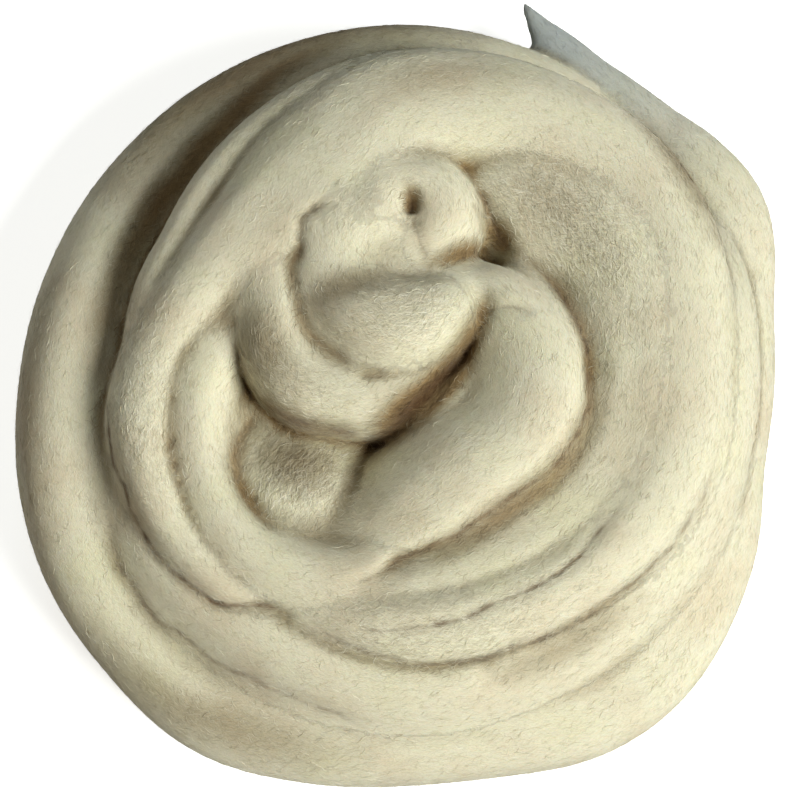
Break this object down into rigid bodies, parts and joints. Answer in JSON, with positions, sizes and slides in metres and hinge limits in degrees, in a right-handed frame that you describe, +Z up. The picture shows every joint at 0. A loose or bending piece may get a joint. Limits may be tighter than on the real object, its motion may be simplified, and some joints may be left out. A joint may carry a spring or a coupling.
{
  "type": "wool roving",
  "caption": "Thick unspun strand of cream combed wool, wound in a low round heap and curled up in its middle, with a wispy loose end at the back.",
  "frame": {"origin": "middle of the bounding box on the flat base", "axes": "+Z up from the surface it rests on, -Y the front of the heap, with the loose end at the back right"},
  "size_m": [0.25, 0.2636, 0.0814],
  "materials": {
    "wool": "matt combed fibre with a faint sheen"
  },
  "bodies": {
    "root": {"roving": "wool"}
  },
  "joints": []
}
